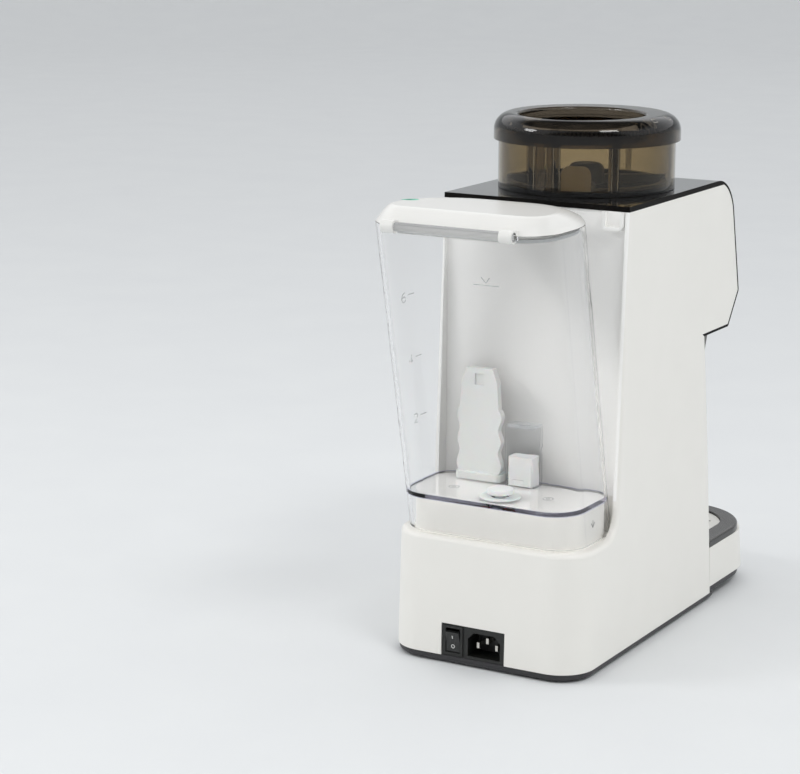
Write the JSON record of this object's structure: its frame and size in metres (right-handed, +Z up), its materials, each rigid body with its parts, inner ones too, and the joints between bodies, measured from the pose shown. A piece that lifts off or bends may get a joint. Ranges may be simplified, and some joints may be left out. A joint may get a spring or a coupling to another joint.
{
  "type": "baby formula maker",
  "caption": "Counter-top baby formula maker with a hinged-lid rear water tank, a smoked powder hopper with stirrer, a funnel drawer and a drip tray",
  "frame": {"origin": "On the floor, under the middle of the overall box: midway between the front of the base and the lid clips at the rear of the tank", "axes": "+Z up, -Y towards the front of the machine where the bottle stands, +Y towards the water tank, +X to the right seen from the front; X = 0 is the plane that halves the body"},
  "size_m": [0.1464, 0.3624, 0.361],
  "materials": {
    "white_abs": "warm white moulded ABS, fine satin grain",
    "gloss_black": "black high gloss moulded skin",
    "graphite": "dark grey satin moulded plastic",
    "smoked_clear": "smoked brown-grey transparent plastic",
    "clear_plastic": "clear moulded plastic with a faint violet edge",
    "white_inner": "white moulded plastic",
    "plate_grey": "pale grey moulded plate",
    "black_abs": "black matte moulded plastic",
    "silicone": "translucent grey silicone",
    "dark_rubber": "dark grey rubber",
    "steel": "plain stainless steel",
    "brass_pin": "nickel plated brass",
    "nylon": "natural acetal gear plastic",
    "alu": "cast aluminium",
    "circuit": "green laminate circuit board with black components",
    "button_grey": "dark gloss button cap",
    "window_dark": "dark tinted display window"
  },
  "bodies": {
    "machine": {"base_pan": "graphite", "rubber_feet": "dark_rubber", "main_housing": "white_abs", "base_screws": "steel", "column_front_cover": "white_abs", "gloss_cover": "gloss_black", "display_window": "window_dark", "head_housing": "white_abs", "control_board": "circuit", "front_base_cover": "white_abs", "tank_seat": "white_inner", "outlet_seal": "silicone", "valve_pin": "white_inner", "reed_sensor": "black_abs", "tank_catches": "white_inner", "gear_plate": "steel", "spindle_bush": "nylon", "spindle_collar": "nylon", "gear_motor": "steel", "motor_screws": "steel", "powder_chute": "clear_plastic", "dispense_block": "graphite", "inlet_hose": "silicone", "water_pump": "black_abs", "pump_cradle": "dark_rubber", "heater_block": "alu", "heater_bracket": "steel", "pump_hose": "silicone", "outlet_hose": "silicone", "water_nozzle": "steel", "power_board": "circuit", "inlet_module": "black_abs", "inlet_pins": "brass_pin"},
    "water_tank": {"tank_shell": "clear_plastic", "valve_guide": "white_inner", "valve_spring": "steel", "float_cage": "clear_plastic", "filter_cartridge": "white_inner"},
    "tank_lid_body": {"tank_lid": "white_abs", "tank_lid_seal": "silicone"},
    "tank_valve": {"valve_poppet": "white_inner"},
    "float": {"float_block": "white_inner", "float_magnet": "steel"},
    "hopper": {"hopper_container": "smoked_clear"},
    "hopper_cover": {"hopper_lid": "smoked_clear", "lid_seal": "silicone"},
    "stirrer": {"mixing_wheel": "graphite"},
    "spindle": {"drive_gear": "nylon", "drive_spindle": "steel"},
    "pinion": {"motor_pinion": "brass_pin"},
    "funnel_drawer": {"funnel": "graphite"},
    "tray": {"drip_tray": "graphite"},
    "tray_cover": {"tray_plate": "plate_grey"},
    "power_rocker": {"rocker": "black_abs"},
    "power_key": {"power_button": "button_grey"},
    "volume_key": {"volume_button": "button_grey"},
    "temperature_key": {"temperature_button": "button_grey"},
    "start_key": {"start_button": "button_grey"}
  },
  "joints": [
    {"name": "tank_lift", "type": "slide", "parent": "machine", "child": "water_tank", "axis": [0, 0, 1], "range_m": [0, 0.12]},
    {"name": "tank_lid_hinge", "type": "hinge", "parent": "water_tank", "child": "tank_lid_body", "pos_m": [0, 0.1769, 0.304], "axis": [-1, 0, 0], "range_deg": [0, 110]},
    {"name": "valve_stroke", "type": "slide", "parent": "water_tank", "child": "tank_valve", "axis": [0, 0, 1], "range_m": [-0.002, 0], "deforming": ["valve_spring"]},
    {"name": "float_rise", "type": "slide", "parent": "water_tank", "child": "float", "axis": [0, 0, 1], "range_m": [0, 0.014]},
    {"name": "hopper_lift", "type": "slide", "parent": "machine", "child": "hopper", "axis": [0, 0, 1], "range_m": [0, 0.06]},
    {"name": "hopper_lid_lift", "type": "slide", "parent": "hopper", "child": "hopper_cover", "axis": [0, 0, 1], "range_m": [0, 0.05]},
    {"name": "mixing_wheel_spin", "type": "hinge", "parent": "hopper", "child": "stirrer", "pos_m": [0, -0.0212, 0.32], "axis": [0, 0, 1], "continuous": true},
    {"name": "spindle_spin", "type": "hinge", "parent": "machine", "child": "spindle", "pos_m": [0, -0.0212, 0.283], "axis": [0, 0, 1], "continuous": true},
    {"name": "pinion_spin", "type": "hinge", "parent": "machine", "child": "pinion", "pos_m": [0.02615, -0.0212, 0.283], "axis": [0, 0, 1], "continuous": true},
    {"name": "funnel_slide", "type": "slide", "parent": "machine", "child": "funnel_drawer", "axis": [0, -1, 0], "range_m": [0, 0.07]},
    {"name": "tray_lift", "type": "slide", "parent": "machine", "child": "tray", "axis": [0, 0, 1], "range_m": [0, 0.04]},
    {"name": "tray_plate_lift", "type": "slide", "parent": "tray", "child": "tray_cover", "axis": [0, 0, 1], "range_m": [0, 0.03]},
    {"name": "rocker_tilt", "type": "hinge", "parent": "machine", "child": "power_rocker", "pos_m": [0.0202, 0.12407, 0.0174], "axis": [1, 0, 0], "range_deg": [0, 18]},
    {"name": "power_press", "type": "slide", "parent": "machine", "child": "power_key", "axis": [0, 0.9806, -0.1961], "range_m": [0, 0.0008], "stiffness_N_per_m": 400},
    {"name": "volume_press", "type": "slide", "parent": "machine", "child": "volume_key", "axis": [0, 0.9806, -0.1961], "range_m": [0, 0.0008], "stiffness_N_per_m": 400},
    {"name": "temperature_press", "type": "slide", "parent": "machine", "child": "temperature_key", "axis": [0, 0.9806, -0.1961], "range_m": [0, 0.0008], "stiffness_N_per_m": 400},
    {"name": "start_press", "type": "slide", "parent": "machine", "child": "start_key", "axis": [0, 0.9806, -0.1961], "range_m": [0, 0.0008], "stiffness_N_per_m": 400}
  ],
  "couplings": [
    {"joint": "spindle_spin", "follows": "mixing_wheel_spin", "ratio": 1},
    {"joint": "pinion_spin", "follows": "mixing_wheel_spin", "ratio": -3.3333},
    {"joint": "valve_stroke", "follows": "tank_lift", "ratio": -0.016667}
  ]
}
